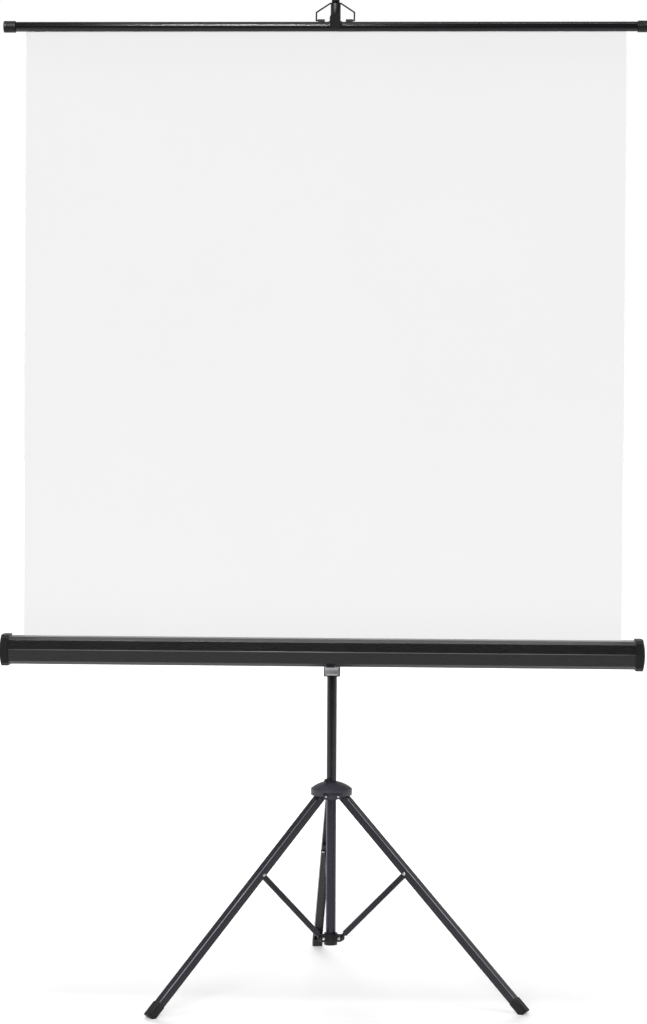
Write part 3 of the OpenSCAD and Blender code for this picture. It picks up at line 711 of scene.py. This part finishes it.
def leg_edges(leg):
    """Lines of painted highlight along the two bent corners of a leg, between hub and foot cap."""
    pivot = JOINTS["tripod_fold" if leg == "left" else f"brace_{leg}_fold"]
    foot = Vector(pivot["pos_m"])
    middle = Vector(JOINTS[f"leg_{leg}_fold"]["pos_m"])
    # Leg and brace lean alike, so the brace's mirror image gives the leg's direction
    up = Vector((foot.x - middle.x, foot.y - middle.y, middle.z - foot.z)).normalized()
    side = Vector(JOINTS[f"leg_{leg}_fold"]["axis"]).normalized()
    out = up.cross(side)
    if out.z < 0:
        out.negate()
    points = [vert.co - middle for vert in NODES[f"leg_{leg}"].data.vertices]
    web = max(point @ out for point in points)
    flange = max(point @ side for point in points)
    low = min(point @ up for point in points) + LINE_FROM_FOOT
    high = max(point @ up for point in points) - LINE_FROM_HUB
    corner = sizes().leg_corner
    bm = bmesh.new()
    for way in (-1, 1):
        section = []
        for radius, turns in ((corner + LINE_PROUD, LINE_OUT), (corner - LINE_SUNK, LINE_BACK)):
            for turn in turns:
                angle = math.radians(turn)
                section.append(out * (web - corner + radius * math.cos(angle))
                               + side * way * (flange - corner + radius * math.sin(angle)))
        prism(bm, *[[middle + point + up * z for point in section] for z in (low, high)])
    return mesh_of(f"leg_edges_{leg}", bm)


class SCREEN_OT_tripod(bpy.types.Operator):
    """Finishes hub, legs, braces, feet and their rivets, and adds the legs' painted highlight lines
    """

    bl_idname = "screen.tripod"
    bl_label = "Tripod"

    def execute(self, context):
        dress("moulded_abs", "hub_dome", edge=1.6)
        dress("moulded_polypropylene", "brace_collar", edge=1.6)
        dress("moulded_polypropylene", "hub_knob", edge=0.6)
        dress("stove_enamelled_steel", *[f"leg_{leg}" for leg in LEGS], edge=0.6)
        dress("stove_enamelled_steel", *[f"brace_{leg}" for leg in LEGS])
        dress("moulded_polypropylene", *[f"foot_{leg}" for leg in LEGS], edge=3)
        dress("zinc_plated_steel", "hub_pins", "collar_rivets",
              *[f"leg_rivet_{leg}" for leg in LEGS], edge=0.4)
        # Lines in a pale colour that paint the highlight along each leg's corners
        for leg in LEGS:
            new_piece(f"leg_edges_{leg}", leg_edges(leg), "rubbed_enamel_edge", f"leg_{leg}",
                      "leg_steel")
        return {"FINISHED"}


def background_rays(tree, ray):
    """1 for the rays that look at the background: camera, glossy and transmission."""
    seen = ray.outputs["Is Camera Ray"]
    for name in ("Is Glossy Ray", "Is Transmission Ray"):
        seen = add(tree, "ShaderNodeMath", {"operation": "MAXIMUM"},
                   {0: seen, 1: ray.outputs[name]}).outputs["Value"]
    return seen


def floor_paint():
    """Matte white that keeps the shadows, with a glow that only background rays see."""
    paint = bpy.data.materials.new("white_studio_floor")
    tree = nodes_of(paint)
    ray = add(tree, "ShaderNodeLightPath")
    spot = add(tree, "ShaderNodeTexCoord").outputs["Object"]
    axes = add(tree, "ShaderNodeSeparateXYZ", inputs={"Vector": spot})
    dusk = add(tree, "ShaderNodeMapRange", inputs={"Value": axes.outputs["Y"], **FLOOR_DUSK})
    paper = add(tree, "ShaderNodeMath", {"operation": "MAXIMUM"},
                {0: dusk.outputs["Result"], 1: ray.outputs["Is Camera Ray"]}).outputs["Value"]
    reach = add(tree, "ShaderNodeVectorMath", {"operation": "LENGTH"}, {"Vector": spot})
    far_off = add(tree, "ShaderNodeMapRange", inputs={
        "Value": reach.outputs["Value"], **FLOOR_GLOW})
    lift = background_rays(tree, ray)
    for share in (far_off.outputs["Result"], paper):
        lift = add(tree, "ShaderNodeMath", {"operation": "MULTIPLY"},
                   {0: lift, 1: share}).outputs["Value"]
    bounce = add(tree, "ShaderNodeMapRange", inputs={
        "Value": ray.outputs["Is Diffuse Ray"],
        "To Min": linear(FLOOR_WHITE)[0], "To Max": FLOOR_BOUNCE})
    white = add(tree, "ShaderNodeMath", {"operation": "MULTIPLY"},
                {0: bounce.outputs["Result"], 1: paper})
    matte = add(tree, "ShaderNodeBsdfDiffuse", inputs={"Color": white.outputs["Value"]})
    glow = add(tree, "ShaderNodeEmission", inputs={"Strength": lift})
    both = add(tree, "ShaderNodeAddShader", inputs={
        0: matte.outputs["BSDF"], 1: glow.outputs["Emission"]})
    add(tree, "ShaderNodeOutputMaterial", inputs={"Surface": both.outputs["Shader"]})
    return paint


def studio_world():
    """White backdrop for background rays, and soft room light for the rest."""
    world = bpy.data.worlds.new("studio")
    tree = nodes_of(world)
    ray = add(tree, "ShaderNodeLightPath")
    towards = add(tree, "ShaderNodeTexCoord").outputs["Generated"]
    axes = add(tree, "ShaderNodeSeparateXYZ", inputs={"Vector": towards})
    behind = add(tree, "ShaderNodeMapRange", inputs={"Value": axes.outputs["Y"], **BACKDROP_BEHIND})
    below = add(tree, "ShaderNodeMapRange", inputs={"Value": axes.outputs["Z"], **BACKDROP_BELOW})
    backdrop = add(tree, "ShaderNodeMath", {"operation": "MULTIPLY"},
                   {0: behind.outputs["Result"], 1: below.outputs["Result"]})
    white = add(tree, "ShaderNodeMath", {"operation": "MAXIMUM"},
                {0: backdrop.outputs["Value"], 1: ray.outputs["Is Camera Ray"]})
    strength = add(tree, "ShaderNodeMix", inputs={
        "Factor": background_rays(tree, ray), "A": ROOM_LIGHT, "B": white.outputs["Value"]})
    sky = add(tree, "ShaderNodeBackground", inputs={
        "Color": (1, 1, 1, 1), "Strength": strength.outputs["Result"]})
    add(tree, "ShaderNodeOutputWorld", inputs={"Surface": sky.outputs["Background"]})
    return world


def studio_lamps():
    """Soft boxes, and broad lamps from the front and from behind that no reflection shows."""
    lamps = []
    for name, place, tilt, size, watts, lights_matte in SOFT_BOXES:
        box = bpy.data.lights.new(name, "AREA")
        box.shape = "RECTANGLE"
        box.size, box.size_y = size
        box.energy = watts
        lamp = bpy.data.objects.new(name, box)
        lamp.location = place
        lamp.rotation_euler = (math.radians(tilt), 0, 0)
        lamp.visible_diffuse = lights_matte
        lamps.append(lamp)
    for name, tilt, heading, strength in BROAD_LAMPS:
        broad = bpy.data.lights.new(name, "SUN")
        broad.energy = strength
        broad.angle = math.radians(BROAD_ANGLE)
        lamp = bpy.data.objects.new(name, broad)
        lamp.rotation_euler = (math.radians(tilt), 0, math.radians(heading))
        lamp.visible_glossy = False
        lamps.append(lamp)
    return lamps


def photo_camera():
    """The camera at the photograph's place and angle."""
    lens = bpy.data.cameras.new("camera")
    lens.sensor_width = SENSOR_MM
    lens.lens = FOCAL_PX / IMAGE_LONG_SIDE * SENSOR_MM
    camera = bpy.data.objects.new("camera", lens)
    heading, pitch, roll = (
        math.radians(angle) for angle in (CAMERA_HEADING, CAMERA_PITCH, CAMERA_ROLL))
    ahead = Vector((
        -math.sin(heading) * math.cos(pitch),
        math.cos(heading) * math.cos(pitch),
        -math.sin(pitch),
    ))
    right = ahead.cross(Vector((0, 0, 1))).normalized()
    up = right.cross(ahead)
    tilted = right * math.cos(roll) + up * math.sin(roll)
    upright = up * math.cos(roll) - right * math.sin(roll)
    turn = Matrix((tilted, upright, -ahead)).transposed().to_4x4()
    camera.matrix_world = Matrix.Translation(CAMERA_PLACE) @ turn
    return camera


class SCREEN_OT_stage(bpy.types.Operator):
    """Makes the floor, the soft studio light and the camera"""

    bl_idname = "screen.stage"
    bl_label = "Stage"

    def execute(self, context):
        scene = context.scene
        scene.view_settings.view_transform = "Standard"
        bm = bmesh.new()
        bmesh.ops.create_grid(bm, x_segments=1, y_segments=1, size=FLOOR_REACH)
        floor = bpy.data.objects.new("floor", mesh_of("floor", bm))
        scene.collection.objects.link(floor)
        floor.data.materials.append(floor_paint())
        scene.world = studio_world()
        camera = photo_camera()
        for item in (*studio_lamps(), camera):
            scene.collection.objects.link(item)
        scene.camera = camera
        return {"FINISHED"}


STEPS = (
    SCREEN_OT_stage,
    SCREEN_OT_sheet,
    SCREEN_OT_case,
    SCREEN_OT_rail,
    SCREEN_OT_mast,
    SCREEN_OT_carriage,
    SCREEN_OT_tripod,
)


class SCREEN_PT_panel(bpy.types.Panel):
    """Lists the steps and what they can be given"""

    bl_idname = "SCREEN_PT_panel"
    bl_label = "Projection screen"
    bl_space_type = "VIEW_3D"
    bl_region_type = "UI"
    bl_category = "Screen"

    def draw(self, context):
        for group in (context.scene.screen_sizes, context.scene.screen_colours):
            for name in group.__annotations__:
                self.layout.prop(group, name)
        for step in STEPS:
            self.layout.operator(step.bl_idname)


CLASSES = (SCREEN_PG_sizes, SCREEN_PG_colours, *STEPS, SCREEN_PT_panel)


def register():
    for cls in CLASSES:
        bpy.utils.register_class(cls)
    bpy.types.Scene.screen_sizes = bpy.props.PointerProperty(type=SCREEN_PG_sizes)
    bpy.types.Scene.screen_colours = bpy.props.PointerProperty(type=SCREEN_PG_colours)


def unregister():
    del bpy.types.Scene.screen_colours
    del bpy.types.Scene.screen_sizes
    for cls in reversed(CLASSES):
        bpy.utils.unregister_class(cls)


def main():
    register()
    bpy.ops.screen.stage()
    bpy.ops.screen.sheet()
    bpy.ops.screen.case()
    bpy.ops.screen.rail()
    bpy.ops.screen.mast()
    bpy.ops.screen.carriage()
    bpy.ops.screen.tripod()


if __name__ == "__main__":
    main()
